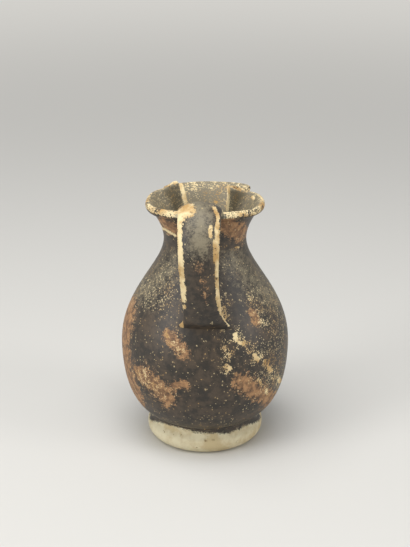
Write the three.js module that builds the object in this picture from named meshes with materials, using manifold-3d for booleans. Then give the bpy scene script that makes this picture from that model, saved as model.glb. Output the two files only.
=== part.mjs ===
// A small trefoil-mouthed wine jug in black-gloss pottery, in millimetres, +Z up.
// The jug stands on z = 0 with its handle towards -Y and its pouring lobe towards +Y.
// The sizes below are measured from the pot's axis; the whole jug is centred at the end.
import * as THREE from 'three';
import { mergeVertices } from 'three/addons/utils/BufferGeometryUtils.js';
import Module from 'manifold-3d';

const wasm = await Module();
wasm.setup();

// Clearance between pieces that were luted together with slip
const LUTING_GAP = 0.3;

// Foot ring
const FOOT_HEIGHT = 16;
const FOOT_TOE_RADIUS = 30.6;
const FOOT_WIDEST_RADIUS = 35.4;
const FOOT_WIDEST_HEIGHT = 7.4;
const FOOT_WAIST_RADIUS = 33.0;
const FOOT_WAIST_DROP = 2.4;
const FOOT_REST_WIDTH = 3.6;
const FOOT_JOINT_WIDTH = 10.5;

// Body
const WALL = 3.4;
const FLOOR = 4.6;
const BELLY_RADIUS = 50.7;
const BELLY_HEIGHT = 62;
const BELLY_LOWER_SWELL = 38.5;
const BELLY_UPPER_SWELL = 30.5;
const JOINT_BEAD_RADIUS = 33.9;
const JOINT_BEAD_HEIGHT = 1.5;
const NECK_RADIUS = 24.5;
const NECK_HEIGHT = 128;
const NECK_LOWER_SWEEP = 17.5;

// Mouth: the potter flares a round collar, then presses it in at two places
const MOUTH_HEIGHT = 152.6;
const MOUTH_BACK = 25.4;
const MOUTH_BACK_FLAT = 25;
const MOUTH_HALF_WIDTH = 33.7;
const MOUTH_SIDE_Y = -4;
const MOUTH_WALL = 3.2;
const SPOUT_SIDE_Y = 24.5;
const SPOUT_TIP_Y = 34.6;
const FLARE_POWER = 1.8;
const FOLD_POWER = 1.15;
const FOLD_RADIUS = 2.5;
const FOLD_REACH = 7.5;
const LIP_PROJECTION = 2.5;
const LIP_DEPTH = 4.2;
const LIP_PRESSED = 0.9;
const RIGHT_HALF = {
  side: 1,
  pinchX: 15,
  pinchY: 13.6,
  pinchRise: 2.8,
  pinchNeckAngle: THREE.MathUtils.degToRad(54),
  spoutHalfWidth: 25.8,
  spoutDip: 0.6,
  lipExtra: 0.2,
};
const LEFT_HALF = {
  side: -1,
  pinchX: 18,
  pinchY: 14.6,
  pinchRise: 5,
  pinchNeckAngle: THREE.MathUtils.degToRad(52),
  spoutHalfWidth: 25.8,
  spoutDip: 1.8,
  lipExtra: 1.3,
};

// Strap handle
const STRAP_TOP_WIDTH = 24.6;
const STRAP_LOWER_WIDTH = 21.8;
const STRAP_CROWN = 4.4;
const STRAP_BACK = 2;
const STRAP_EDGE = 1.4;
const HANDLE_RISE = 4.8;
const HANDLE_CREST_OUT = 9.6;
const HANDLE_REACH = 54;
const HANDLE_REACH_HEIGHT = 132;
const HANDLE_ROOT_HEIGHT = 89;
const HANDLE_TOP_SHIFT = -1.3;
const HANDLE_ROOT_SHIFT = 1.5;
const HANDLE_ROOT_DIVE = THREE.MathUtils.degToRad(40);
const FILLET_EDGE = 0.9;
const UPPER_FILLET_LENGTH = 5.5;
const UPPER_FILLET_SPREAD = 2;
const LOWER_FILLET_LENGTH = 13;
const LOWER_FILLET_SPREAD = 3.2;

// Facets
const TURNS = 40;
const FOLD_STEPS = 8;
const STRAP_STEPS = 34;
const STRAP_SIDES = 18;

const CLAY = new THREE.Color('#d9c08f');
const GLOSS = new THREE.Color('#2b2621');

function pottery(colour, roughness) {
  return new THREE.MeshStandardMaterial({ color: colour, roughness, metalness: 0 });
}

// A surface of revolution from a profile of (radius, height) points, axis along Z
function turned(profile) {
  const geometry = new THREE.LatheGeometry(profile, TURNS);
  geometry.rotateX(Math.PI / 2);
  return geometry;
}

// A closed skin over rings of equally many points: the rings join end to end, or get flat caps
function skinned(rings, endless) {
  const sides = rings[0].length;
  const positions = rings.flat().flatMap((point) => [point.x, point.y, point.z]);
  const index = [];
  const spans = endless ? rings.length : rings.length - 1;
  for (let ring = 0; ring < spans; ring += 1) {
    const next = (ring + 1) % rings.length;
    for (let side = 0; side < sides; side += 1) {
      const beside = (side + 1) % sides;
      const a = ring * sides + side;
      const b = ring * sides + beside;
      const c = next * sides + beside;
      const d = next * sides + side;
      index.push(a, b, c, a, c, d);
    }
  }
  if (!endless) {
    const last = (rings.length - 1) * sides;
    for (let side = 1; side < sides - 1; side += 1) {
      index.push(0, side + 1, side);
      index.push(last, last + side, last + side + 1);
    }
  }
  const geometry = new THREE.BufferGeometry();
  geometry.setAttribute('position', new THREE.Float32BufferAttribute(positions, 3));
  geometry.setIndex(index);
  return geometry;
}

// The same geometry with shared vertices only, as booleans need it
function welded(geometry) {
  const bare = geometry.clone();
  bare.deleteAttribute('normal');
  bare.deleteAttribute('uv');
  return mergeVertices(bare, 1e-4);
}

// A copy whose surface stands off by the clearance, to cut a seat with
function grown(geometry, clearance) {
  const copy = welded(geometry);
  copy.computeVertexNormals();
  const position = copy.getAttribute('position');
  const normal = copy.getAttribute('normal');
  for (let i = 0; i < position.count; i += 1) {
    position.setXYZ(
      i,
      position.getX(i) + clearance * normal.getX(i),
      position.getY(i) + clearance * normal.getY(i),
      position.getZ(i) + clearance * normal.getZ(i),
    );
  }
  return copy;
}

function toSolid(geometry) {
  const bare = welded(geometry);
  return new wasm.Manifold(new wasm.Mesh({
    numProp: 3,
    vertProperties: new Float32Array(bare.getAttribute('position').array),
    triVerts: new Uint32Array(bare.index.array),
  }));
}

function toGeometry(solid) {
  const mesh = solid.getMesh();
  const geometry = new THREE.BufferGeometry();
  geometry.setAttribute('position', new THREE.BufferAttribute(new Float32Array(mesh.vertProperties), 3));
  geometry.setIndex(new THREE.BufferAttribute(new Uint32Array(mesh.triVerts), 1));
  geometry.computeVertexNormals();
  return geometry;
}

// The wall of the thrown pot outside, from the foot joint over the belly to the neck
const shellFoot = new THREE.CubicBezierCurve(
  new THREE.Vector2(JOINT_BEAD_RADIUS, FOOT_HEIGHT + JOINT_BEAD_HEIGHT),
  new THREE.Vector2(JOINT_BEAD_RADIUS + JOINT_BEAD_HEIGHT / 2, FOOT_HEIGHT + 1.5 * JOINT_BEAD_HEIGHT),
  new THREE.Vector2(BELLY_RADIUS, BELLY_HEIGHT - BELLY_LOWER_SWELL),
  new THREE.Vector2(BELLY_RADIUS, BELLY_HEIGHT),
);
const shellShoulder = new THREE.CubicBezierCurve(
  new THREE.Vector2(BELLY_RADIUS, BELLY_HEIGHT),
  new THREE.Vector2(BELLY_RADIUS, BELLY_HEIGHT + BELLY_UPPER_SWELL),
  new THREE.Vector2(NECK_RADIUS, NECK_HEIGHT - NECK_LOWER_SWEEP),
  new THREE.Vector2(NECK_RADIUS, NECK_HEIGHT),
);

// Outer radius of the shoulder at a height, by halving the curve's parameter range
function shoulderRadius(height) {
  let low = 0;
  let high = 1;
  while (high - low > 1e-6) {
    const middle = (low + high) / 2;
    if (shellShoulder.getPoint(middle).y < height) low = middle;
    else high = middle;
  }
  return shellShoulder.getPoint(low).x;
}

// Points of a wall curve moved inwards by the wall's thickness, square to the curve
function innerWall(curve, steps, thickness) {
  const points = [];
  for (let step = 0; step <= steps; step += 1) {
    const point = curve.getPoint(step / steps);
    const tangent = curve.getTangent(step / steps);
    points.push(new THREE.Vector2(point.x - thickness * tangent.y, point.y + thickness * tangent.x));
  }
  return points;
}

// Foot ring: a swelling outer face with a hollow waist under the body, bored right through
function footRing() {
  const waistHeight = FOOT_HEIGHT - FOOT_WAIST_DROP;
  const swelling = new THREE.CubicBezierCurve(
    new THREE.Vector2(FOOT_TOE_RADIUS, 0),
    new THREE.Vector2(FOOT_WIDEST_RADIUS - 0.6, FOOT_WIDEST_HEIGHT * 0.3),
    new THREE.Vector2(FOOT_WIDEST_RADIUS, FOOT_WIDEST_HEIGHT * 0.6),
    new THREE.Vector2(FOOT_WIDEST_RADIUS, FOOT_WIDEST_HEIGHT),
  );
  const hollow = new THREE.CubicBezierCurve(
    new THREE.Vector2(FOOT_WIDEST_RADIUS, FOOT_WIDEST_HEIGHT),
    new THREE.Vector2(FOOT_WIDEST_RADIUS, (FOOT_WIDEST_HEIGHT + waistHeight) / 2),
    new THREE.Vector2(FOOT_WAIST_RADIUS, waistHeight - FOOT_WAIST_DROP),
    new THREE.Vector2(FOOT_WAIST_RADIUS, waistHeight),
  );
  const restInner = FOOT_TOE_RADIUS - FOOT_REST_WIDTH;
  const jointInner = FOOT_WAIST_RADIUS - FOOT_JOINT_WIDTH;
  const bore = new THREE.QuadraticBezierCurve(
    new THREE.Vector2(jointInner, FOOT_HEIGHT),
    new THREE.Vector2(jointInner, FOOT_WIDEST_HEIGHT),
    new THREE.Vector2(restInner, 0),
  );
  const profile = [
    ...swelling.getPoints(5),
    ...hollow.getPoints(5).slice(1),
    new THREE.Vector2(FOOT_WAIST_RADIUS, FOOT_HEIGHT),
    ...bore.getPoints(3),
    new THREE.Vector2(FOOT_TOE_RADIUS, 0),
  ];
  return turned(profile);
}

// Body: thrown wall, with the turned underside bulging down inside the foot ring
function body() {
  const jointInner = FOOT_WAIST_RADIUS - FOOT_JOINT_WIDTH;
  const undersideLow = FOOT_HEIGHT - FLOOR / 2;
  const underside = new THREE.QuadraticBezierCurve(
    new THREE.Vector2(0, undersideLow),
    new THREE.Vector2(jointInner / 2, undersideLow),
    new THREE.Vector2(jointInner - 2 * LUTING_GAP, FOOT_HEIGHT),
  );
  const floorTop = undersideLow + FLOOR;
  const lowerInner = innerWall(shellFoot, 9, WALL).slice(2);
  const upperInner = innerWall(shellShoulder, 12, WALL).slice(1);
  const floorCurve = new THREE.QuadraticBezierCurve(
    new THREE.Vector2(0, floorTop),
    new THREE.Vector2(lowerInner[0].x * 0.7, floorTop),
    lowerInner[0],
  );
  const profile = [
    ...underside.getPoints(3),
    new THREE.Vector2(FOOT_WAIST_RADIUS, FOOT_HEIGHT),
    new THREE.Vector2(JOINT_BEAD_RADIUS, FOOT_HEIGHT + JOINT_BEAD_HEIGHT / 2),
    ...shellFoot.getPoints(11),
    ...shellShoulder.getPoints(14).slice(1),
    ...upperInner.reverse(),
    ...lowerInner.reverse(),
    ...floorCurve.getPoints(3).reverse().slice(1),
  ];
  return turned(profile);
}

// How far the pouring lobe's rim hangs below the side lobes: each half has its own, and they meet at the tip
function spoutDip(half, toTip) {
  const tipDip = (RIGHT_HALF.spoutDip + LEFT_HALF.spoutDip) / 2;
  const own = THREE.MathUtils.smoothstep(toTip, 0, 0.4) * half.spoutDip;
  return THREE.MathUtils.lerp(own, tipDip, THREE.MathUtils.smoothstep(toTip, 0.4, 1));
}

// Half of the mouth's plan seen from above, as a walk from the back of the rim round one side lobe,
// in and out again at the pinch, and round to the tip of the pouring lobe
function halfMouthPlan(half) {
  const back = new THREE.Vector2(0, -MOUTH_BACK);
  const flank = new THREE.Vector2(MOUTH_HALF_WIDTH, MOUTH_SIDE_Y);
  const noseCentre = new THREE.Vector2(half.pinchX + FOLD_RADIUS, half.pinchY);
  const noseBack = new THREE.Vector2(noseCentre.x, noseCentre.y - FOLD_RADIUS);
  const noseFront = new THREE.Vector2(noseCentre.x, noseCentre.y + FOLD_RADIUS);
  const spoutSide = new THREE.Vector2(half.spoutHalfWidth, SPOUT_SIDE_Y);
  const tip = new THREE.Vector2(0, SPOUT_TIP_Y);
  const backLobe = new THREE.CubicBezierCurve(
    back,
    new THREE.Vector2(MOUTH_BACK_FLAT, -MOUTH_BACK),
    new THREE.Vector2(MOUTH_HALF_WIDTH, MOUTH_SIDE_Y - MOUTH_BACK * 0.6),
    flank,
  );
  const farLobe = new THREE.CubicBezierCurve(
    flank,
    new THREE.Vector2(MOUTH_HALF_WIDTH, noseBack.y + FOLD_RADIUS / 2),
    new THREE.Vector2((noseBack.x + MOUTH_HALF_WIDTH) / 2, noseBack.y + 1.6 * FOLD_RADIUS),
    noseBack,
  );
  const fold = new THREE.EllipseCurve(
    noseCentre.x, noseCentre.y, FOLD_RADIUS, FOLD_RADIUS, -Math.PI / 2, Math.PI / 2, true,
  );
  const spoutFlank = new THREE.CubicBezierCurve(
    noseFront,
    new THREE.Vector2(noseFront.x + FOLD_RADIUS, noseFront.y),
    new THREE.Vector2(half.spoutHalfWidth, (noseFront.y + SPOUT_SIDE_Y) / 2),
    spoutSide,
  );
  const spoutFront = new THREE.CubicBezierCurve(
    spoutSide,
    new THREE.Vector2(half.spoutHalfWidth, (SPOUT_SIDE_Y + SPOUT_TIP_Y) / 2),
    new THREE.Vector2(half.spoutHalfWidth / 2, SPOUT_TIP_Y),
    tip,
  );
  const walk = [
    ...backLobe.getPoints(13),
    ...farLobe.getPoints(12).slice(1),
    ...fold.getPoints(FOLD_STEPS).slice(1),
    ...spoutFlank.getPoints(6).slice(1),
    ...spoutFront.getPoints(10).slice(1),
  ];
  const lengths = [0];
  for (let i = 1; i < walk.length; i += 1) {
    lengths.push(lengths[i - 1] + walk[i].distanceTo(walk[i - 1]));
  }
  const noseIndex = 13 + 12 + FOLD_STEPS / 2;
  const noseLength = lengths[noseIndex];
  const wholeLength = lengths[lengths.length - 1];
  return walk.map((point, i) => {
    const beyond = lengths[i] - noseLength;
    const pressed = Math.exp(-((beyond / FOLD_REACH) ** 2));
    const toTip = Math.max(0, beyond / (wholeLength - noseLength));
    const aboutNeck = beyond < 0
      ? -Math.PI / 2 + (lengths[i] / noseLength) * (half.pinchNeckAngle + Math.PI / 2)
      : half.pinchNeckAngle + toTip * (Math.PI / 2 - half.pinchNeckAngle);
    return {
      rim: new THREE.Vector2(half.side * point.x, point.y),
      neck: new THREE.Vector2(half.side * Math.cos(aboutNeck), Math.sin(aboutNeck)),
      top: MOUTH_HEIGHT + half.pinchRise * pressed - spoutDip(half, toTip),
      lipDepth: LIP_DEPTH + half.lipExtra * Math.sin(Math.PI * lengths[i] / wholeLength),
      pressed,
    };
  });
}

// The whole walk round the mouth, counter-clockwise from above, without doubled end stations
function mouthStations() {
  const right = halfMouthPlan(RIGHT_HALF);
  const left = halfMouthPlan(LEFT_HALF).reverse();
  return [...right, ...left.slice(1, -1)];
}

// The wall's cut at a station: share of the height, and offset from the wall's middle
function wallSection(station) {
  const lipFoot = 1 - station.lipDepth / (station.top - NECK_HEIGHT);
  const projection = LIP_PROJECTION * (1 - LIP_PRESSED * station.pressed);
  const half = (share) => (WALL + (MOUTH_WALL - WALL) * share) / 2;
  const outer = [0, 0.16, 0.32, 0.48, 0.64, lipFoot - 0.04].map((share) => [share, half(share)]);
  const lip = [
    [lipFoot, half(1) + projection],
    [lipFoot + 0.45 * (1 - lipFoot), half(1) + 0.75 * projection],
    [lipFoot + 0.8 * (1 - lipFoot), half(1) * 0.75 + 0.2 * projection],
    [1, 0],
    [1 - 0.06 * (1 - lipFoot), -half(1) * 0.75],
  ];
  const inner = [lipFoot + 0.6 * (1 - lipFoot), 0.72, 0.55, 0.38, 0.2, 0].map((share) => [share, -half(share)]);
  return [...outer, ...lip, ...inner];
}

// Neck and mouth: each level of the wall blends from the round neck out to the pinched rim
function neckAndMouth() {
  const stations = mouthStations();
  const middleRadius = NECK_RADIUS - WALL / 2;
  const power = (station) => FLARE_POWER + (FOLD_POWER - FLARE_POWER) * station.pressed;
  const middle = (station, share) => {
    const flare = share ** power(station);
    return station.neck.clone().multiplyScalar(middleRadius).lerp(station.rim, flare);
  };
  const rings = stations.map((station, i) => {
    const before = stations[(i + stations.length - 1) % stations.length];
    const after = stations[(i + 1) % stations.length];
    return wallSection(station).map(([share, offset]) => {
      const along = middle(after, share).sub(middle(before, share)).normalize();
      const point = middle(station, share);
      return new THREE.Vector3(
        point.x + offset * along.y,
        point.y - offset * along.x,
        NECK_HEIGHT + share * (station.top - NECK_HEIGHT),
      );
    });
  });
  return skinned(rings.reverse(), true);
}

// The strap's centre line: up off the lip, back over the crest, down, and in to the shoulder
function strapPath() {
  const start = new THREE.Vector3(HANDLE_TOP_SHIFT, -MOUTH_BACK - LIP_PROJECTION, MOUTH_HEIGHT - LIP_DEPTH / 2);
  const crest = new THREE.Vector3(HANDLE_TOP_SHIFT, -MOUTH_BACK - HANDLE_CREST_OUT, MOUTH_HEIGHT + HANDLE_RISE);
  const reach = new THREE.Vector3(HANDLE_TOP_SHIFT, -HANDLE_REACH, HANDLE_REACH_HEIGHT);
  const root = new THREE.Vector3(
    HANDLE_ROOT_SHIFT, WALL / 2 - shoulderRadius(HANDLE_ROOT_HEIGHT), HANDLE_ROOT_HEIGHT,
  );
  const path = new THREE.CurvePath();
  path.add(new THREE.CubicBezierCurve3(
    start,
    start.clone().add(new THREE.Vector3(0, -HANDLE_CREST_OUT / 8, HANDLE_RISE * 0.6)),
    crest.clone().add(new THREE.Vector3(0, HANDLE_CREST_OUT * 0.4, 0)),
    crest,
  ));
  path.add(new THREE.CubicBezierCurve3(
    crest,
    crest.clone().add(new THREE.Vector3(0, (crest.y - reach.y) * -0.55, 0)),
    reach.clone().add(new THREE.Vector3(0, 0, (crest.z - reach.z) * 0.5)),
    reach,
  ));
  const dive = new THREE.Vector3(0, Math.sin(HANDLE_ROOT_DIVE), -Math.cos(HANDLE_ROOT_DIVE));
  path.add(new THREE.CubicBezierCurve3(
    reach,
    reach.clone().add(new THREE.Vector3(0, 0, (root.z - reach.z) * 0.4)),
    root.clone().sub(dive.multiplyScalar((reach.z - root.z) * 0.3)),
    root,
  ));
  return path;
}

// A length of strap between two shares of the path: a crowned section, flatter towards the pot.
// It stands off by the clearance, ends too, and the spread widens it twice as much as it thickens it.
function strap(from, to, steps, clearance, spread) {
  const path = strapPath();
  const rings = [];
  for (let step = 0; step <= steps; step += 1) {
    const share = from + (to - from) * step / steps;
    const along = path.getTangentAt(share);
    const centre = path.getPointAt(share).addScaledVector(along, clearance * (2 * step / steps - 1));
    const across = new THREE.Vector3(1, 0, 0).addScaledVector(along, -along.x).normalize();
    const outwards = along.clone().cross(across);
    const taper = THREE.MathUtils.smoothstep(share, 0.15, 0.7);
    const wider = clearance + spread(share);
    const thicker = clearance + spread(share) / 2;
    const halfWidth = THREE.MathUtils.lerp(STRAP_TOP_WIDTH, STRAP_LOWER_WIDTH, taper) / 2 + wider;
    const ring = [];
    for (let side = 0; side < STRAP_SIDES; side += 1) {
      const angle = side / STRAP_SIDES * 2 * Math.PI;
      const wide = Math.sign(Math.cos(angle)) * Math.abs(Math.cos(angle)) ** 0.8;
      const bulge = (Math.sin(angle) > 0 ? STRAP_CROWN - STRAP_EDGE : STRAP_EDGE - STRAP_BACK);
      const high = Math.sin(angle) * (STRAP_EDGE + thicker) + bulge * (1 - wide * wide);
      ring.push(centre.clone().addScaledVector(across, halfWidth * wide).addScaledVector(outwards, high));
    }
    rings.push(ring);
  }
  return skinned(rings, false);
}

// The thrown pot's outside as a filled form, standing off by the clearance
function bodyCore(clearance) {
  const outside = [...shellFoot.getPoints(11), ...shellShoulder.getPoints(14).slice(1)];
  const raised = outside.map((point) => new THREE.Vector2(point.x + clearance, point.y));
  return toSolid(turned([
    new THREE.Vector2(0, FOOT_HEIGHT),
    ...raised,
    new THREE.Vector2(0, NECK_HEIGHT),
  ]));
}

// What lies in one piece after a cut, without any crumb that the cut leaves behind
function mainBody(solid) {
  const parts = solid.decompose();
  return parts.reduce((best, part) => (part.volume() > best.volume() ? part : best));
}

const mouthGeometry = neckAndMouth();
const mouthSeat = toSolid(grown(mouthGeometry, LUTING_GAP));
const bodySeat = bodyCore(LUTING_GAP);
const strapLength = strapPath().getLength();
const plainStrap = strap(0, 1, STRAP_STEPS, 0, () => 0);
const strapSeat = toSolid(strap(0, 1, STRAP_STEPS, LUTING_GAP, () => 0));

function strapHandle() {
  return toGeometry(mainBody(toSolid(plainStrap).subtract(mouthSeat).subtract(bodySeat)));
}

// Clay pressed round the strap where it springs from the lip, thinning up the strap
function upperFillet() {
  const end = UPPER_FILLET_LENGTH / strapLength;
  const sleeve = strap(0, end, 8, FILLET_EDGE, (share) => UPPER_FILLET_SPREAD * (1 - share / end) ** 2);
  return toGeometry(mainBody(toSolid(sleeve).subtract(mouthSeat).subtract(strapSeat)));
}

// Clay pressed round the strap where it dives into the shoulder
function lowerFillet() {
  const start = 1 - LOWER_FILLET_LENGTH / strapLength;
  const sleeve = strap(start, 1, 10, FILLET_EDGE, (share) => (
    LOWER_FILLET_SPREAD * ((share - start) / (1 - start)) ** 2
  ));
  return toGeometry(mainBody(toSolid(sleeve).subtract(bodySeat).subtract(strapSeat)));
}

const group = new THREE.Group();
const pieces = [
  ['foot_ring', footRing(), pottery(CLAY, 0.75)],
  ['body', body(), pottery(GLOSS, 0.45)],
  ['neck_and_mouth', mouthGeometry, pottery(GLOSS, 0.45)],
  ['strap_handle', strapHandle(), pottery(GLOSS, 0.45)],
  ['upper_handle_luting', upperFillet(), pottery(CLAY, 0.75)],
  ['lower_handle_luting', lowerFillet(), pottery(GLOSS, 0.45)],
];
for (const [name, geometry, material] of pieces) {
  const mesh = new THREE.Mesh(geometry, material);
  mesh.name = name;
  group.add(mesh);
}

// The origin lies at the middle of the whole jug's footprint, handle included
const bounds = new THREE.Box3().setFromObject(group);
for (const mesh of group.children) {
  mesh.geometry.translate(0, -(bounds.min.y + bounds.max.y) / 2, 0);
}

export default group;
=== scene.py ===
"""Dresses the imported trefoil-mouthed jug with fine surfaces, worn black gloss and studio light."""

import logging
import math
from dataclasses import dataclass
from enum import Enum

import bpy
import numpy as np
from bpy.types import Material, Node, NodeSocket, NodeTree
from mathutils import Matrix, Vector


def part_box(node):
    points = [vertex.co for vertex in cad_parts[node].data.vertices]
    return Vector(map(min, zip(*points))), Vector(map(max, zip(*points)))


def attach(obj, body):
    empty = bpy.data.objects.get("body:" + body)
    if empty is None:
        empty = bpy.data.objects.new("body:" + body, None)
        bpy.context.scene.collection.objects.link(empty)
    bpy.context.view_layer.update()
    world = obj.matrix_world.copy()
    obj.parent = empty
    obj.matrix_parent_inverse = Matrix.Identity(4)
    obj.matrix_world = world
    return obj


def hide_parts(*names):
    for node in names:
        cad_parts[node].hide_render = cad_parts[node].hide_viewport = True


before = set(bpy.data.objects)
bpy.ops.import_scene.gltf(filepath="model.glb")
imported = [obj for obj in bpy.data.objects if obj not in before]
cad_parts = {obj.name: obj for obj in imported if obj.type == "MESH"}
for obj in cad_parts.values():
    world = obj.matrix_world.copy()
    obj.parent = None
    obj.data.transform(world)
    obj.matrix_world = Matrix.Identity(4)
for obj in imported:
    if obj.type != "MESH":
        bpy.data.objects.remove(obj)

Array = np.ndarray
Limits = tuple[float, float]

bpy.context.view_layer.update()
LOG = logging.getLogger("jug")

MILLIMETRE = 0.001
FOOT_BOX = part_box("foot_ring")
POT_AXIS = np.array([0, (FOOT_BOX[0].y + FOOT_BOX[1].y) / 2, 0])
PHOTO_WIDTH_PX = 410
PHOTO_HEIGHT_PX = 547
SHARP_ANGLE = math.radians(38)

# A node that mixes colours has several sockets of each name, so they go by number.
MIX_SHARE, MIX_FIRST, MIX_SECOND, MIX_RESULT = 0, 6, 7, 2


class Wear(Enum):
    """The named surface fields that the finishes read from the meshes."""

    # Worn bare clay, and also a painted highlight line down the neck.
    CLAY = "bare_clay_and_highlight_share"
    # Tan from the kiln, and also painted rim light along the body's left outline.
    TAN = "tan_and_rim_light_share"
    # Grey that the pot took on in the ground inside the mouth, and painted grey sheen where light falls on
    # the shoulders and the handle's crown.
    BLOOM = "grey_bloom_and_sheen_share"
    SPECKS = "speck_share"


def linear_colour(hex_colour: str) -> tuple[float, float, float, float]:
    """Turns an sRGB hex colour into linear red, green, blue and alpha.

    The channel is divided by 12.92 near black, and elsewhere it is the power of 2.4 of the
    channel plus 0.055, over 1.055, as the sRGB standard has it.

    Args:
        hex_colour: Six hexadecimal digits after a hash sign.

    Returns:
        Linear channel values with an alpha of one.
    """
    channels = [int(hex_colour[start : start + 2], 16) / 255 for start in (1, 3, 5)]
    linear = [c / 12.92 if c <= 0.04045 else ((c + 0.055) / 1.055) ** 2.4 for c in channels]
    return (linear[0], linear[1], linear[2], 1.0)


def bezier(points: list[tuple[float, ...] | Array], steps: int) -> Array:
    """Evaluates a Bezier curve by repeated blending between neighbouring control points.

    Args:
        points: Control points, all with equally many coordinates.
        steps: Number of spans between the samples.

    Returns:
        Array of steps + 1 points along the curve.
    """
    share = np.linspace(0, 1, steps + 1)[:, None]
    layer = np.repeat(np.array(points, float)[:, None, :], steps + 1, axis=1)
    while len(layer) > 1:
        layer = layer[:-1] * (1 - share) + layer[1:] * share
    return layer[0]


def smoothstep(value: Array, low: float, high: float) -> Array:
    """Eases from 0 to 1 between two limits, as three squares less two cubes of the share."""
    share = np.clip((value - low) / (high - low), 0, 1)
    return share * share * (3 - 2 * share)


def arc_lengths(points: Array) -> Array:
    """Adds up the straight distances from point to point, starting at zero."""
    return np.concatenate([[0], np.cumsum(np.linalg.norm(np.diff(points, axis=0), axis=1))])


def inner_wall(outside: Array, thickness: float) -> Array:
    """Moves a profile inwards by the wall's thickness, square to the profile."""
    tangent = np.gradient(outside, axis=0)
    tangent /= np.linalg.norm(tangent, axis=1)[:, None]
    return outside + thickness * np.stack([-tangent[:, 1], tangent[:, 0]], axis=1)


def turned(profile: Array, turns: int) -> Array:
    """Turns a profile of (radius, height) points about the pot's axis.

    Each point's place is its radius times the cosine and sine of the turn, at its own height.

    Args:
        profile: Points of radius and height in millimetres.
        turns: Number of places round the axis.

    Returns:
        Grid of points with one row for each profile point.
    """
    angle = np.arange(turns) / turns * 2 * np.pi
    radius = profile[:, :1]
    height = np.repeat(profile[:, 1:], turns, axis=1)
    return np.stack([radius * np.cos(angle), radius * np.sin(angle), height], axis=2)


@dataclass(frozen=True)
class PhotoView:
    """The photograph's camera, which looks down on the handle's side of the jug."""

    focal_px: float = 1400
    elevation: float = math.radians(22)
    azimuth: float = math.radians(2.5)
    aim_height: float = 104.5
    distance: float = 840
    sensor_mm: float = 36
    seen: Limits = (-0.05, 0.12)

    def back(self) -> Array:
        """Unit direction from the aim to the camera."""
        flat = math.cos(self.elevation)
        return np.array(
            [math.sin(self.azimuth) * flat, -math.cos(self.azimuth) * flat, math.sin(self.elevation)]
        )

    def facing(self, normals: Array, low: float, high: float) -> Array:
        """Eases from 0 to 1 as a surface turns towards the camera, between two cosines."""
        return smoothstep(normals @ self.back(), low, high)

    def to_photo(self, points: Array) -> Array:
        """Projects points onto the photograph.

        Args:
            points: Points in millimetres about the pot's axis.

        Returns:
            Pixel positions, measured to the right and down from the picture's top left corner.
        """
        back = self.back()
        right = np.array([math.cos(self.azimuth), math.sin(self.azimuth), 0.0])
        up = np.cross(back, right)
        aim = np.array([0, 0, self.aim_height])
        from_aim = points - aim
        depth = self.distance - from_aim @ back
        across = PHOTO_WIDTH_PX / 2 + self.focal_px * (from_aim @ right) / depth
        down = PHOTO_HEIGHT_PX / 2 - self.focal_px * (from_aim @ up) / depth
        return np.stack([across, down], axis=-1)

    def make_camera(self) -> None:
        """Adds the scene's camera at the place of the photograph's."""
        data = bpy.data.cameras.new("photo_camera")
        data.sensor_width = self.sensor_mm
        data.lens = self.focal_px * self.sensor_mm / PHOTO_HEIGHT_PX
        data.dof.use_dof = False
        camera = bpy.data.objects.new("photo_camera", data)
        back = Vector(self.back())
        aim = Vector((0, POT_AXIS[1], self.aim_height * MILLIMETRE))
        camera.location = aim + back * self.distance * MILLIMETRE
        camera.rotation_mode = "QUATERNION"
        camera.rotation_quaternion = (-back).to_track_quat("-Z", "Y")
        bpy.context.scene.collection.objects.link(camera)
        bpy.context.scene.camera = camera


VIEW = PhotoView()


@dataclass(frozen=True)
class Stroke:
    """A worn or coloured mark, as a line on the photograph with a half width, in its pixels."""

    line: tuple[tuple[float, float], ...]
    half_width: float

    def field(self, spots: Array) -> Array:
        """Gives 1 on the line, one half at the mark's edge and 0 at twice the half width.

        Args:
            spots: Pixel positions of the surface's points.

        Returns:
            One value for each point.
        """
        nearest = np.full(len(spots), np.inf)
        for start, end in zip(np.array(self.line[:-1]), np.array(self.line[1:])):
            span = end - start
            share = np.clip((spots - start) @ span / (span @ span), 0, 1)
            nearest = np.minimum(nearest, np.linalg.norm(spots - start - share[:, None] * span, axis=1))
        return np.clip(1 - nearest / (2 * self.half_width), 0, 1)


Marks = tuple[Stroke, ...]


def marks(*rows: tuple[float, ...]) -> Marks:
    """Makes marks from rows of a half width and then each point's place, across and down."""
    return tuple(Stroke(tuple(zip(row[1::2], row[2::2])), row[0]) for row in rows)


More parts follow.
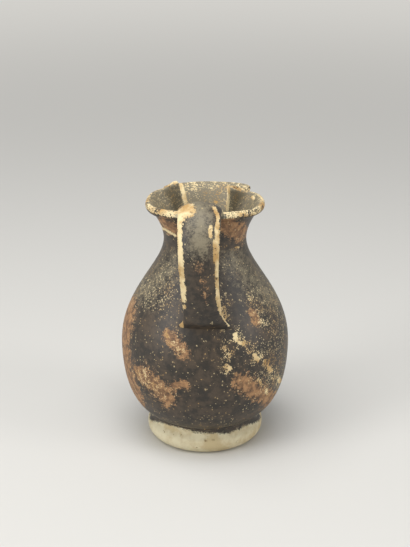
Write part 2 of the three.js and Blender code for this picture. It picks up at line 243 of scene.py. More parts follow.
class Skin:
    """A piece of the jug that stands for a CAD node: a closed mesh that carries wear fields."""

    def __init__(self, name: str, grid: Array, endless: bool, material: Material) -> None:
        """Builds the mesh over a grid of rings, each of which closes on itself.

        The sum of the triangles' triple products is six times the volume. Where it is negative
        the faces look inwards, and all of them are turned round.

        Args:
            name: The piece's name.
            grid: Rings of points in millimetres about the pot's axis.
            endless: True if the last ring joins the first, False if both end in a middle point.
            material: The piece's finish.
        """
        rings, sides, _ = grid.shape
        number = np.arange(rings * sides).reshape(rings, sides)
        following = np.roll(number, -1, axis=0) if endless else number[1:]
        leading = number if endless else number[:-1]
        beside = np.roll(leading, -1, axis=1)
        diagonal = np.roll(following, -1, axis=1)
        quads = np.stack([leading, beside, diagonal, following], axis=2).reshape(-1, 4)
        fans = np.empty((0, 3), int)
        points = grid.reshape(-1, 3)
        if not endless:
            points = np.concatenate([points, grid[:1].mean(axis=1), grid[-1:].mean(axis=1)])
            starts = np.concatenate([np.roll(number[0], -1), number[-1]])
            ends = np.concatenate([number[0], np.roll(number[-1], -1)])
            middles = np.repeat([rings * sides, rings * sides + 1], sides)
            fans = np.stack([starts, ends, middles], axis=1)
        triangles = points[np.concatenate([quads[:, :3], quads[:, [0, 2, 3]], fans])]
        volume = np.einsum("ij,ij->", triangles[:, 0], np.cross(triangles[:, 1], triangles[:, 2]))
        order = -1 if volume < 0 else 1
        faces = quads[:, ::order].tolist() + fans[:, ::order].tolist()
        mesh = bpy.data.meshes.new(name)
        mesh.from_pydata((points * MILLIMETRE + POT_AXIS).tolist(), [], faces)
        mesh.update()
        mesh.shade_smooth()
        mesh.set_sharp_from_angle(angle=SHARP_ANGLE)
        mesh.materials.append(material)
        self.piece = bpy.data.objects.new(name, mesh)
        bpy.context.scene.collection.objects.link(self.piece)
        self.points = (self.read("co") - POT_AXIS) / MILLIMETRE
        self.normals = self.read("normal")
        LOG.info("%s: %d points, %d faces", name, len(points), len(faces))

    def read(self, what: str) -> Array:
        """Reads a vector for each of the mesh's points, which is its place or its normal."""
        values = np.empty(len(self.piece.data.vertices) * 3)
        self.piece.data.vertices.foreach_get(what, values)
        return values.reshape(-1, 3)

    def marked(self, strokes: Marks) -> Array:
        """Gives the strongest mark's field at each point, on the side that the photograph shows."""
        spots = VIEW.to_photo(self.points)
        shown = VIEW.facing(self.normals, *VIEW.seen)
        return np.max([stroke.field(spots) for stroke in strokes], axis=0) * shown

    def finish(self, node: str, slot: str, fields: dict[Wear, Array]) -> None:
        """Writes the wear fields and ties the piece to the jug's one body.

        Args:
            node: The CAD node that the piece stands for.
            slot: Its material slot in the record; not used.
            fields: Values from 0 to 1 for each point. A field that isn't given is zero.
        """
        for wear in Wear:
            layer = self.piece.data.attributes.new(wear.value, "FLOAT", "POINT")
            values = fields.get(wear, np.zeros(len(self.points)))
            layer.data.foreach_set("value", np.clip(values, 0, 1).astype(np.float32))
        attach(self.piece, "root")
        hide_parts(node)


def add_node(
    tree: NodeTree,
    kind: str,
    inputs: dict[int | str, Node | NodeSocket | float | str | tuple[float, ...]],
    **settings: str,
) -> Node:
    """Adds a shader node with its settings and links.

    Args:
        tree: The node tree of a material or of the world.
        kind: The node's type, less the two words that every shader node's type starts with.
        inputs: By input name or number, a value, a hex colour, a socket, or a node, which stands
            for its first output.
        **settings: Properties set on the node.

    Returns:
        The new node.
    """
    made = tree.nodes.new("ShaderNode" + kind)
    for key, value in settings.items():
        setattr(made, key, value)
    for key, value in inputs.items():
        source = value.outputs[0] if isinstance(value, Node) else value
        if isinstance(source, NodeSocket):
            tree.links.new(source, made.inputs[key])
        else:
            made.inputs[key].default_value = linear_colour(source) if isinstance(source, str) else source
    return made


@dataclass(frozen=True)
class Shade:
    """Two colours of one substance, and the noise values between which one turns into the other."""

    first: str
    second: str
    low: float
    high: float

    def build(self, tree: NodeTree, noise: Node) -> NodeSocket:
        """Blends the two colours by a noise, and returns the blend's socket."""
        limits = {"Value": noise, "From Min": self.low, "From Max": self.high}
        share = add_node(tree, "MapRange", limits, interpolation_type="SMOOTHSTEP")
        colours = {MIX_SHARE: share, MIX_FIRST: self.first, MIX_SECOND: self.second}
        return add_node(tree, "Mix", colours, data_type="RGBA").outputs[MIX_RESULT]


@dataclass(frozen=True)
class PotteryFinish:
    """Black-gloss pottery: an iron-rich clay slip, brushed on and fired dark over cream clay.

    The vessel was thrown on a wheel, so fine level ridges run round it. The slip has a low satin
    sheen and browns where it is thin. It turned tan where air reached it in the kiln, it went grey
    in the ground, and where it came off in flakes, the porous clay beneath is matt and holds dirt.
    The grey layer also paints the sheen where light falls on the shoulders and the handle's crown.
    The tan layer also paints rim light along the body's left outline, and the bare clay layer also
    paints a thin highlight down the neck.
    """

    name: str
    gloss: Shade = Shade("#29241e", "#4a3e31", 0.4, 0.62)
    tan: Shade = Shade("#6d5038", "#ab8259", 0.35, 0.68)
    clay: Shade = Shade("#e6d2a4", "#b8935c", 0.4, 0.65)
    # Grey of burial, also used as painted sheen where light falls on the shoulders and the handle's crown.
    bloom_and_sheen: str = "#7d745f"
    dirt: str = "#4d3b28"
    dirt_low: float = 0.62
    dirt_high: float = 0.74
    gloss_roughness: float = 0.46
    worn_roughness: float = 0.62
    clay_roughness: float = 0.85
    # Real slip has a grain too fine to show in the picture, so it is drawn as coarse as 0.8 mm,
    # and so are the lime specks at 1 mm. The other sizes are those seen in the photograph.
    mottle_mm: float = 11
    mottle_detail: float = 4
    patch_mm: float = 3.2
    patch_detail: float = 3
    grain_mm: float = 0.8
    ridge_mm: float = 1.6
    fine_detail: float = 2
    noise_roughness: float = 0.6
    speck_mm: float = 1.0
    speck_wander_mm: float = 1.4
    speck_reach: float = 1.5
    speck_cover: float = 0.6
    tear: float = 0.9
    fray: float = 0.7
    clay_edge: float = 0.05
    tan_edge: float = 0.13
    bloom_and_sheen_edge: float = 0.3
    grain_relief: float = 0.5
    flake_relief: float = 0.7
    bump_strength: float = 0.55
    bump_mm: float = 0.22

    def ragged(self, tree: NodeTree, wear: Wear, rough: Node, grain: Node, edge: float) -> Node:
        """Breaks up the edge of a wear field, as slip flakes off in torn outlines.

        Args:
            tree: The material's node tree.
            wear: The field.
            rough: The coarser noise.
            grain: The finer noise.
            edge: Half the width of the change-over, as a share of the field.

        Returns:
            Node that gives 1 where the field plus the noise passes one half.
        """
        torn, frayed = [
            add_node(tree, "Math", {0: noise, 1: reach, 2: -reach / 2}, operation="MULTIPLY_ADD")
            for noise, reach in ((rough, self.tear), (grain, self.fray))
        ]
        noise = add_node(tree, "Math", {0: torn, 1: frayed}, operation="ADD")
        field = add_node(tree, "Attribute", {}, attribute_name=wear.value).outputs["Fac"]
        moved = add_node(tree, "Math", {0: noise, 1: field}, operation="ADD")
        limits = {"Value": moved, "From Min": 0.5 - edge, "From Max": 0.5 + edge}
        return add_node(tree, "MapRange", limits, interpolation_type="SMOOTHSTEP")

    def specks(self, tree: NodeTree, spot: NodeSocket, rough: Node, grain: Node) -> Node:
        """Scatters encrusted specks of uneven outline.

        Args:
            tree: The material's node tree.
            spot: Socket of the place on the object.
            rough: The coarser noise.
            grain: The finer noise, which pushes the specks' outlines about.

        Returns:
            Node that gives 1 on a speck and 0 elsewhere.
        """
        wander = {0: grain.outputs[1], 1: (self.speck_wander_mm * MILLIMETRE,) * 3, 2: spot}
        shifted = add_node(tree, "VectorMath", wander, operation="MULTIPLY_ADD")
        cell_inputs = {"Vector": shifted, "Scale": 1 / (self.speck_mm * MILLIMETRE)}
        cells = add_node(tree, "TexVoronoi", cell_inputs)
        draw = add_node(tree, "SeparateColor", {0: cells.outputs["Color"]})
        uneven = add_node(tree, "Math", {0: rough, 1: grain}, operation="MULTIPLY")
        reach = add_node(tree, "Math", {0: uneven, 1: self.speck_reach}, operation="MULTIPLY")
        close = {0: cells.outputs["Distance"], 1: reach}
        near = add_node(tree, "Math", close, operation="LESS_THAN")
        field = add_node(tree, "Attribute", {}, attribute_name=Wear.SPECKS.value).outputs["Fac"]
        drawn = add_node(tree, "Math", {0: draw, 1: field}, operation="LESS_THAN")
        return add_node(tree, "Math", {0: near, 1: drawn}, operation="MULTIPLY")

    def build(self) -> Material:
        """Builds the material and returns it."""
        material = bpy.data.materials.new(self.name)
        material.use_nodes = True
        tree = material.node_tree
        tree.nodes.clear()
        spot = add_node(tree, "TexCoord", {}).outputs["Object"]
        height = add_node(tree, "SeparateXYZ", {0: spot}).outputs[2]
        ring = add_node(tree, "CombineXYZ", {2: height}).outputs[0]
        noises = []
        for source, size_mm, detail in (
            (spot, self.mottle_mm, self.mottle_detail),
            (spot, self.patch_mm, self.patch_detail),
            (spot, self.grain_mm, self.fine_detail),
            (ring, self.ridge_mm, self.fine_detail),
        ):
            lumps = {"Vector": source, "Scale": 1 / (size_mm * MILLIMETRE), "Detail": detail}
            noises.append(add_node(tree, "TexNoise", lumps | {"Roughness": self.noise_roughness}))
        mottle, rough, grain, ridges = noises

        # Bare clay, which also paints the thin highlight line down the neck.
        clay_showing = self.ragged(tree, Wear.CLAY, rough, grain, self.clay_edge)
        tan_mask = self.ragged(tree, Wear.TAN, rough, grain, self.tan_edge)
        # The grey layer is partly painted sheen of light on the shoulders and the handle's crown.
        bloom_and_sheen_mask = self.ragged(tree, Wear.BLOOM, rough, grain, self.bloom_and_sheen_edge)
        dots = {0: self.specks(tree, spot, rough, grain), 1: self.speck_cover}
        dotted = add_node(tree, "Math", dots, operation="MULTIPLY")
        bare = add_node(tree, "Math", {0: clay_showing, 1: dotted}, operation="MAXIMUM")

        both = add_node(tree, "Math", {0: mottle, 1: rough}, operation="ADD")
        uneven = add_node(tree, "Math", {0: both, 1: 0.5}, operation="MULTIPLY")
        limits = {"Value": rough, "From Min": self.dirt_low, "From Max": self.dirt_high}
        soil = add_node(tree, "MapRange", limits, interpolation_type="SMOOTHSTEP")
        soiled_clay = {MIX_SHARE: soil, MIX_FIRST: self.clay.build(tree, mottle), MIX_SECOND: self.dirt}
        dirty = add_node(tree, "Mix", soiled_clay, data_type="RGBA").outputs[MIX_RESULT]
        base = self.gloss.build(tree, uneven)
        tan_colour = self.tan.build(tree, rough)
        for share, colour in ((tan_mask, tan_colour), (bloom_and_sheen_mask, self.bloom_and_sheen), (bare, dirty)):
            layers = {MIX_SHARE: share, MIX_FIRST: base, MIX_SECOND: colour}
            base = add_node(tree, "Mix", layers, data_type="RGBA").outputs[MIX_RESULT]

        tan_and_grey = add_node(tree, "Math", {0: tan_mask, 1: bloom_and_sheen_mask}, operation="MAXIMUM")
        worn = {"Value": tan_and_grey, "To Min": self.gloss_roughness, "To Max": self.worn_roughness}
        shine = add_node(tree, "MapRange", worn)
        matt = {"Value": bare, "To Min": shine, "To Max": self.clay_roughness}
        dullness = add_node(tree, "MapRange", matt)

        grains = add_node(tree, "Math", {0: grain, 1: self.grain_relief}, operation="MULTIPLY")
        raised = add_node(tree, "Math", {0: ridges, 1: grains}, operation="ADD")
        pits = add_node(tree, "Math", {0: clay_showing, 1: self.flake_relief}, operation="MULTIPLY")
        relief = add_node(tree, "Math", {0: raised, 1: pits}, operation="SUBTRACT")
        depth = {"Strength": self.bump_strength, "Distance": self.bump_mm * MILLIMETRE, "Height": relief}
        bump = add_node(tree, "Bump", depth)
        surface = {"Base Color": base, "Roughness": dullness, "Normal": bump}
        shader = add_node(tree, "BsdfPrincipled", surface)
        add_node(tree, "OutputMaterial", {0: shader})
        return material


GLOSS_FINISH = PotteryFinish("worn_black_gloss")
# The foot and the clay at the lip are the pot's own clay, left or worn bare: pale, dusty, soft-edged.
CLAY_FINISH = PotteryFinish(
    "bare_clay", clay=Shade("#dad0b0", "#c2b088", 0.4, 0.65), dirt="#8a7550", clay_edge=0.22
)


@dataclass(frozen=True)
class FootRing:
    """The turned ring that was luted under the body, in millimetres."""

    height: float = 16
    toe_radius: float = 30.6
    widest_radius: float = 35.4
    widest_height: float = 7.4
    waist_radius: float = 33
    waist_drop: float = 2.4
    rest_width: float = 3.6
    joint_width: float = 10.5
    swell_inset: float = 0.6
    swell_low: float = 0.3
    swell_high: float = 0.6
    curve_steps: tuple[int, ...] = (24, 20, 18)
    turns: int = 240
    # Share of gloss colour painted as shade on the top where the ring turns away from the camera.
    painted_top_shade: float = 0.75
    gloss_and_shade_cover: float = 0.95
    drip_limits: Limits = (0.35, 0.65)
    full_facing: float = 0.5
    tan_share: float = 0.3
    gloss_edge: Marks = marks(
        (12, 150, 408, 176, 414, 200, 421, 226, 422, 258, 408),
    )

    def profile(self) -> Array:
        """The ring's closed cut: swelling outside, joint face, bore and resting edge."""
        waist_height = self.height - self.waist_drop
        rest_inner = self.toe_radius - self.rest_width
        joint_inner = self.waist_radius - self.joint_width
        wide, high = self.widest_radius, self.widest_height
        swell_start = (wide - self.swell_inset, high * self.swell_low)
        swell_end = (wide, high * self.swell_high)
        waist_start = (wide, (high + waist_height) / 2)
        waist_end = (self.waist_radius, waist_height - self.waist_drop)
        controls = (
            [(self.toe_radius, 0), swell_start, swell_end, (wide, high)],
            [(wide, high), waist_start, waist_end, (self.waist_radius, waist_height)],
            [(joint_inner, self.height), (joint_inner, high), (rest_inner, 0)],
        )
        swelling, hollow, bore = map(bezier, controls, self.curve_steps)
        collar = np.array([(self.waist_radius, self.height)])
        return np.concatenate([swelling, hollow[1:], collar, bore])

    def build(self, material: Material) -> None:
        """Makes the ring: cream clay with gloss that ran down over its top, and painted shade on its
        turned-away top.
        """
        skin = Skin("foot_ring_skin", turned(self.profile(), self.turns), True, material)
        top = smoothstep(skin.points[:, 2], self.widest_height + self.waist_drop, self.height)
        facing = VIEW.facing(skin.normals, 0, self.full_facing)
        drips = smoothstep(skin.marked(self.gloss_edge), *self.drip_limits)
        # Gloss colour on the top's turned-away sides is painted shade under the body's overhang; the marked
        # drips in front are gloss.
        bare = 1 - self.gloss_and_shade_cover * np.maximum(drips * facing, self.painted_top_shade * top * (1 - facing))
        skin.finish("foot_ring", "bare_clay", {Wear.CLAY: bare, Wear.TAN: self.tan_share * bare})


@dataclass(frozen=True)
class Body:
    """The thrown body from the foot joint over the belly to the neck, in millimetres."""

    foot_height: float = 16
    foot_radius: float = 33
    joint_inner: float = 22.5
    luting_gap: float = 0.3
    wall: float = 3.4
    floor: float = 4.6
    belly_radius: float = 50.7
    belly_height: float = 62
    lower_swell: float = 38.5
    upper_swell: float = 30.5
    bead_radius: float = 33.9
    bead_height: float = 1.5
    neck_radius: float = 24.5
    neck_height: float = 128
    neck_sweep: float = 17.5
    bead_lean: float = 1.5
    floor_flat: float = 0.7
    floor_start: int = 14
    underside_steps: int = 16
    belly_steps: int = 64
    shoulder_steps: int = 84
    floor_steps: int = 20
    measuring_steps: int = 400
    turns: int = 256
    full_hiding: float = 0.3
    even_specks: float = 0.1
    marked_specks: float = 0.45
    hidden_specks: float = 0.04
    flaked_share: float = 0.45
    hidden_wear: float = 0.2
    tan_share: float = 0.85
    painted_sheen_share: float = 0.55
    clay_marks: Marks = marks(
        (2.1, 240, 343, 243, 344),
        (2.4, 254, 355, 258, 359),
        (2.2, 268, 367, 271, 371),
        (1.8, 279, 380, 280, 381),
        (2.0, 235, 334, 236, 340),
        (2.2, 229, 368, 231, 369),
        (1.3, 258, 379, 262, 385),
        (1.2, 266, 390, 267, 394),
        (0.8, 231, 246, 239, 247.5),
    )
    flaked_areas: Marks = marks(
        (15, 236, 338, 262, 360, 280, 384),
        (12, 222, 300, 228, 370),
        (14, 140, 372, 160, 392),
        (10, 250, 300, 262, 322),
        (9, 166, 332, 180, 352),
    )
    tan_marks: Marks = marks(
        # The first mark, along the left outline, is partly worn clay and partly painted rim light from the
        # left.
        (6, 131, 300, 124, 345, 128, 375, 140, 404),
        (9, 140, 372, 154, 384, 168, 398),
        (7, 168, 334, 176, 344, 184, 354),
        (4.5, 173, 385, 185, 385),
        (5, 253, 312, 257, 322),
        (10, 242, 382, 262, 395, 281, 405),
        (5, 168, 232, 176, 238),
        (8, 226, 228, 236, 240),
    )
    # Painted grey sheen where the lamps light the shoulders.
    painted_sheen_marks: Marks = marks(
        (18, 146, 290, 176, 262),
        (16, 232, 258, 268, 296),
    )
    speck_marks: Marks = marks(
        (16, 140, 282, 168, 292),
        (14, 270, 300, 280, 345, 272, 380),
    )

    def shell_foot(self, steps: int) -> Array:
        """The outside from the foot joint to the widest belly."""
        bead = self.bead_height
        start = (self.bead_radius, self.foot_height + bead)
        bead_top = (self.bead_radius + bead / 2, self.foot_height + self.bead_lean * bead)
        low = (self.belly_radius, self.belly_height - self.lower_swell)
        return bezier([start, bead_top, low, (self.belly_radius, self.belly_height)], steps)

    def shell_shoulder(self, steps: int) -> Array:
        """The outside from the widest belly to the neck."""
        belly = (self.belly_radius, self.belly_height)
        high = (self.belly_radius, self.belly_height + self.upper_swell)
        sweep = (self.neck_radius, self.neck_height - self.neck_sweep)
        return bezier([belly, high, sweep, (self.neck_radius, self.neck_height)], steps)

    def shoulder_radius(self, height: float) -> float:
        """The shoulder's outer radius at a height."""
        shoulder = self.shell_shoulder(self.measuring_steps)
        return float(np.interp(height, shoulder[:, 1], shoulder[:, 0]))

    def profile(self) -> Array:
        """The body's cut from the underside's middle, round the wall, to the floor's middle."""
        low = self.foot_height - self.floor / 2
        joint_edge = (self.joint_inner - 2 * self.luting_gap, self.foot_height)
        underside = bezier([(0, low), (self.joint_inner / 2, low), joint_edge], self.underside_steps)
        foot = self.shell_foot(self.belly_steps)
        shoulder = self.shell_shoulder(self.shoulder_steps)
        inner_foot = inner_wall(foot, self.wall)[self.floor_start :]
        inner_shoulder = inner_wall(shoulder, self.wall)[1:]
        floor_top = low + self.floor
        corner = tuple(inner_foot[0])
        floor = bezier([(0, floor_top), (corner[0] * self.floor_flat, floor_top), corner], self.floor_steps)
        bead_middle = (self.bead_radius, self.foot_height + self.bead_height / 2)
        joint = np.array([(self.foot_radius, self.foot_height), bead_middle])
        inside = np.concatenate([inner_shoulder[::-1], inner_foot[::-1], floor[::-1][1:-1]])
        return np.concatenate([underside[1:], joint, foot, shoulder[1:], inside])

    def build(self, material: Material) -> None:
        """Makes the body with chips, kiln-tan patches, specks, and painted shoulder sheen and rim light."""
        skin = Skin("body_skin", turned(self.profile(), self.turns), False, material)
        hidden = VIEW.facing(-skin.normals, 0, self.full_hiding)
        clay_showing = self.flaked_share * skin.marked(self.flaked_areas) + self.hidden_wear * hidden
        specks = self.even_specks + self.marked_specks * skin.marked(self.speck_marks)
        fields = {
            Wear.CLAY: np.maximum(skin.marked(self.clay_marks), clay_showing),
            Wear.TAN: self.tan_share * skin.marked(self.tan_marks) + self.hidden_wear * hidden,
            Wear.BLOOM: self.painted_sheen_share * skin.marked(self.painted_sheen_marks),
            Wear.SPECKS: specks + self.hidden_specks * hidden,
        }
        skin.finish("body", "black_gloss", fields)


@dataclass(frozen=True)
class MouthHalf:
    """One half of the hand-pressed mouth: where the rim was pinched, and how far, in millimetres."""

    side: int
    pinch_x: float
    pinch_y: float
    pinch_rise: float
    neck_angle: float
    spout_half_width: float
    spout_dip: float
    lip_extra: float


@dataclass(frozen=True)
class NeckAndMouth:
    """The collar that was flared, then pressed in at two places to make three lobes."""

    body: Body
    right: MouthHalf = MouthHalf(
        side=1, pinch_x=15, pinch_y=13.6, pinch_rise=2.8, neck_angle=math.radians(54),
        spout_half_width=25.8, spout_dip=0.6, lip_extra=0.2,
    )
    left: MouthHalf = MouthHalf(
        side=-1, pinch_x=18, pinch_y=14.6, pinch_rise=5, neck_angle=math.radians(52),
        spout_half_width=25.8, spout_dip=1.8, lip_extra=1.3,
    )
    height: float = 152.6
    back: float = 25.4
    back_flat: float = 25
    half_width: float = 33.7
    side_y: float = -4
    wall: float = 3.2
    spout_side_y: float = 24.5
    spout_tip_y: float = 34.6
    flare_power: float = 1.8
    fold_power: float = 1.15
    fold_radius: float = 2.5
    fold_reach: float = 7.5
    lip_projection: float = 2.5
    lip_depth: float = 4.2
    lip_pressed: float = 0.9
    lobe_fullness: float = 0.6
    lobe_hook: float = 1.6
    dip_share: float = 0.4
    curve_steps: tuple[int, ...] = (64, 56, 28, 48)
    fold_steps: int = 32
    # Places in the wall's cut, as shares of its height: up the outside, and down the inside.
    outer_shares: tuple[float, ...] = (0, 0.16, 0.32, 0.48, 0.64)
    inner_shares: tuple[float, ...] = (0.72, 0.55, 0.38, 0.2, 0)
    lip_undercut: float = 0.04
    lip_inner_share: float = 0.6
    # The lip's cut: shares of its depth, of half the wall and of the lip's projection.
    lip_points: tuple[tuple[float, float, float], ...] = (
        (0, 1, 1),
        (0.45, 1, 0.75),
        (0.8, 0.75, 0.2),
        (1, 0, 0),
        (0.94, -0.75, 0),
    )
    corner_cut: float = 0.25
    corner_rounds: int = 2
    lip_limits: Limits = (0.8, 0.9)
    lip_wear: float = 0.56
    inner_lip_wear: float = 0.5
    rim_from: float = 0.95
    front_limits: Limits = (15, 21)
    pale_low: float = 0.14
    pale_more: float = 0.3
    pale_from: float = 0.4
    lobe_bloom: float = 0.78
    even_specks: float = 0.1
    inside_specks: float = 0.5
    clay_marks: Marks = marks(
        # The first mark is a painted highlight: a thin light line down the neck's left side.
        (1.1, 157, 219.6, 162, 228, 175.4, 235.5),
        (2.2, 180.5, 183, 184, 195, 187.5, 209),
        (1.4, 228.6, 187, 227.7, 210),
        (1.5, 215, 201.9, 216.5, 202),
        (1.6, 252, 197, 254, 198),
        (2.4, 172, 181.5, 178, 181),
    )
    tan_marks: Marks = marks(
        (6, 162, 223, 176, 230),
        (9, 224, 223, 238, 232),
        (2.6, 226.4, 190, 225.4, 210),
    )

    def plan(self, half: MouthHalf) -> dict[str, Array]:
        """Walks half the rim seen from above, from the back round a side lobe and the pinch to the tip.

        The walk's places, the matching places on the round neck, the rim's height, the lip's depth
        and how strongly the wall was pressed all depend on the length walked. The pressing falls
        off with the square of the distance from the pinch, as in a bell curve.

        Args:
            half: The half's own sizes.

        Returns:
            Arrays named rim, neck, top, lip_depth and pressed, with one entry for each station.
        """
        nose_x = half.pinch_x + self.fold_radius
        nose_back = (nose_x, half.pinch_y - self.fold_radius)
        nose_front = (nose_x, half.pinch_y + self.fold_radius)
        flank = (self.half_width, self.side_y)
        back_corner = (self.half_width, self.side_y - self.back * self.lobe_fullness)
        side_corner = (self.half_width, nose_back[1] + self.fold_radius / 2)
        side_hook = ((nose_x + self.half_width) / 2, nose_back[1] + self.lobe_hook * self.fold_radius)
        spout_bend = (nose_x + self.fold_radius, nose_front[1])
        wide, side_y, tip_y = half.spout_half_width, self.spout_side_y, self.spout_tip_y
        controls = (
            [(0, -self.back), (self.back_flat, -self.back), back_corner, flank],
            [flank, side_corner, side_hook, nose_back],
            [nose_front, spout_bend, (wide, (nose_front[1] + side_y) / 2), (wide, side_y)],
            [(wide, side_y), (wide, (side_y + tip_y) / 2), (wide / 2, tip_y), (0, tip_y)],
        )
        back_lobe, far_lobe, spout_flank, spout_front = map(bezier, controls, self.curve_steps)
        turn = np.linspace(-np.pi / 2, -3 * np.pi / 2, self.fold_steps + 1)
        circle = np.stack([np.cos(turn), np.sin(turn)], axis=1)
        fold = np.array([nose_x, half.pinch_y]) + self.fold_radius * circle
        walk = np.concatenate([back_lobe, far_lobe[1:], fold[1:], spout_flank[1:], spout_front[1:]])
        lengths = arc_lengths(walk)
        nose = lengths[len(back_lobe) + len(far_lobe) - 2 + len(fold) // 2]
        beyond = lengths - nose
        pressed = np.exp(-((beyond / self.fold_reach) ** 2))
        to_tip = np.maximum(0, beyond / (lengths[-1] - nose))
        before = -np.pi / 2 + lengths / nose * (half.neck_angle + np.pi / 2)
        after = half.neck_angle + to_tip * (np.pi / 2 - half.neck_angle)
        about = np.where(beyond < 0, before, after)
        tip_dip = (self.right.spout_dip + self.left.spout_dip) / 2
        own_dip = smoothstep(to_tip, 0, self.dip_share) * half.spout_dip
        dip = own_dip + (tip_dip - own_dip) * smoothstep(to_tip, self.dip_share, 1)
        return {
            "rim": walk * np.array([half.side, 1]),
            "neck": np.stack([half.side * np.cos(about), np.sin(about)], axis=1),
            "top": self.height + half.pinch_rise * pressed - dip,
            "lip_depth": self.lip_depth + half.lip_extra * np.sin(np.pi * lengths / lengths[-1]),
            "pressed": pressed,
        }

    def section(self, lip_depth: Array, top: Array, pressed: Array) -> Array:
        """The wall's cut at each station, as shares of the height and offsets from the wall's middle.

        The lip's corners are cut and cut again: each edge keeps the stretch between its quarter
        points, which rounds the outline off.

        Args:
            lip_depth: The lip's depth at each station.
            top: The rim's height at each station.
            pressed: How strongly the wall was pressed in at each station.

        Returns:
            Array of stations by section points by two.
        """
        foot = 1 - lip_depth / (top - self.body.neck_height)
        lip = 1 - foot
        projection = self.lip_projection * (1 - self.lip_pressed * pressed)

        def half(share: Array) -> Array:
            """Half the wall's thickness at a share of the height."""
            return (self.body.wall + (self.wall - self.body.wall) * share) / 2

        one = np.ones_like(foot)
        outer = [share * one for share in self.outer_shares] + [foot - self.lip_undercut]
        inner = [foot + self.lip_inner_share * lip] + [share * one for share in self.inner_shares]
        pairs = [(share, half(share)) for share in outer]
        pairs += [
            (foot + depth * lip, wall * half(one) + out * projection) for depth, wall, out in self.lip_points
        ]
        pairs += [(share, -half(share)) for share in inner]
        cut = np.array(pairs).transpose(2, 0, 1)
        rest = 1 - self.corner_cut
        for _ in range(self.corner_rounds):
            near = rest * cut[:, :-1] + self.corner_cut * cut[:, 1:]
            far = self.corner_cut * cut[:, :-1] + rest * cut[:, 1:]
            between = np.stack([near, far], axis=2).reshape(len(cut), -1, 2)
            cut = np.concatenate([cut[:, :1], between, cut[:, -1:]], axis=1)
        return cut

    def grid(self) -> tuple[Array, Array, Array]:
        """Lays the wall's cut along the rim's walk.

        A point's middle place is the neck's place blended towards the rim's by the share of the
        height to a power, which is lower where the wall was pressed.

        Returns:
            Grid of points, the share of the height at each, and which side of the wall each is on.
        """
        right = self.plan(self.right)
        left = self.plan(self.left)
        walk = {key: np.concatenate([right[key], left[key][::-1][1:-1]]) for key in right}
        cut = self.section(walk["lip_depth"], walk["top"], walk["pressed"])
        share = cut[:, :, 0]
        power = self.flare_power + (self.fold_power - self.flare_power) * walk["pressed"][:, None]
        flare = (np.maximum(share, 0) ** power)[:, :, None]
        middle_radius = self.body.neck_radius - self.body.wall / 2
        neck = walk["neck"][:, None, :] * middle_radius
        middle = neck + (walk["rim"][:, None, :] - neck) * flare
        along = np.roll(middle, -1, axis=0) - np.roll(middle, 1, axis=0)
        along /= np.linalg.norm(along, axis=2)[:, :, None]
        offset = cut[:, :, 1]
        rise = (walk["top"] - self.body.neck_height)[:, None]
        places = np.stack(
            [
                middle[:, :, 0] + offset * along[:, :, 1],
                middle[:, :, 1] - offset * along[:, :, 0],
                self.body.neck_height + share * rise,
            ],
            axis=2,
        )
        return places, share, offset

    def build(self, material: Material) -> None:
        """Makes the neck and mouth with worn lips and a lighter pouring lobe inside."""
        places, share, offset = self.grid()
        skin = Skin("neck_and_mouth_skin", places, True, material)
        share = share.reshape(-1)
        inside = (offset.reshape(-1) < 0).astype(float)
        lip = smoothstep(share, *self.lip_limits)
        inner_edge = self.inner_lip_wear * smoothstep(share, self.rim_from, 1.0)
        edge = lip * np.where(inside > 0, inner_edge, self.lip_wear)
        front = smoothstep(skin.points[:, 1], *self.front_limits)
        pale = self.pale_low + self.pale_more * smoothstep(share, self.pale_from, self.rim_from)
        fields = {
            Wear.CLAY: np.maximum.reduce([edge, inside * front * pale, skin.marked(self.clay_marks)]),
            Wear.TAN: skin.marked(self.tan_marks),
            Wear.BLOOM: inside * (self.lobe_bloom * (1 - front) + front),
            Wear.SPECKS: self.even_specks + self.inside_specks * inside,
        }
        skin.finish("neck_and_mouth", "black_gloss", fields)


